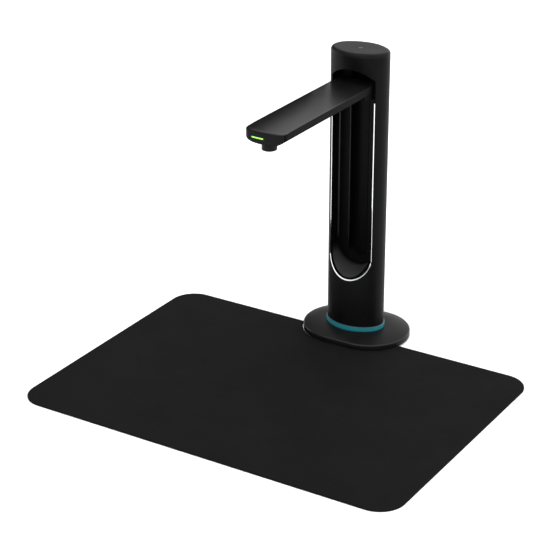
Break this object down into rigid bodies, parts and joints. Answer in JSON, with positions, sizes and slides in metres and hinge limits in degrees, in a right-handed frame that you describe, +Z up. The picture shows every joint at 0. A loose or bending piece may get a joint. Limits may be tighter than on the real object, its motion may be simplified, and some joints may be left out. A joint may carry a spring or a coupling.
{
  "type": "overhead document scanner",
  "caption": "Overhead document scanner: oval column on a weighted foot with a light ring, a camera arm that folds down into a slot in the column, and a desk mat under the lens.",
  "frame": {"origin": "on the table, under the column's centre, on the rubber sole's face", "axes": "+Z up, -Y to the front, the way the arm points over the mat, +X to the right seen from the front"},
  "size_m": [0.478, 0.4039, 0.3575],
  "materials": {
    "mat_rubber": "matt, fine textured",
    "sole_rubber": "matt",
    "housing": "fine satin moulding texture",
    "liner": "satin",
    "light_guide": "translucent teal, frosted",
    "trim": "polished",
    "steel": "plated",
    "casting": "satin black",
    "washer": "plain",
    "circuit": "solder mask",
    "ribbon": "flat film",
    "key": "satin, light mark",
    "lens_black": "semi-gloss",
    "lens_glass": "coated",
    "status_green": "lit, translucent",
    "diffuser": "frosted"
  },
  "bodies": {
    "stand": {"mat": "mat_rubber", "base_pad": "sole_rubber", "base_tray": "housing", "base_weight": "steel", "base_cover": "housing", "base_screws": "steel", "light_ring": "light_guide", "ring_board": "circuit", "column_foot": "casting", "foot_bolts": "steel", "column_front": "housing", "column_rear": "housing", "top_cap": "housing", "touch_key": "key", "touch_board": "circuit", "slot_trim": "trim", "pocket_liner": "liner", "hinge_bracket_left": "steel", "hinge_bracket_right": "steel", "bracket_screws": "steel", "hinge_pin": "steel", "pin_clips": "steel", "friction_washers": "washer", "main_board": "circuit", "board_screws": "steel", "data_socket": "steel", "column_ribbon": "ribbon"},
    "arm": {"arm_top": "housing", "arm_belly": "housing", "arm_knuckle": "casting", "arm_screws": "steel", "camera_board": "circuit", "camera_screws": "steel", "image_sensor": "lens_black", "lens_holder": "lens_black", "lens_barrel": "lens_black", "lens_glass": "lens_glass", "status_light": "status_green", "lamp_board": "circuit", "lamp_diffuser": "diffuser", "arm_ribbon": "ribbon"}
  },
  "joints": [
    {"name": "arm_fold", "type": "hinge", "parent": "stand", "child": "arm", "pos_m": [0, -0.006, 0.30844], "axis": [1, 0, 0], "range_deg": [0, 90]}
  ]
}
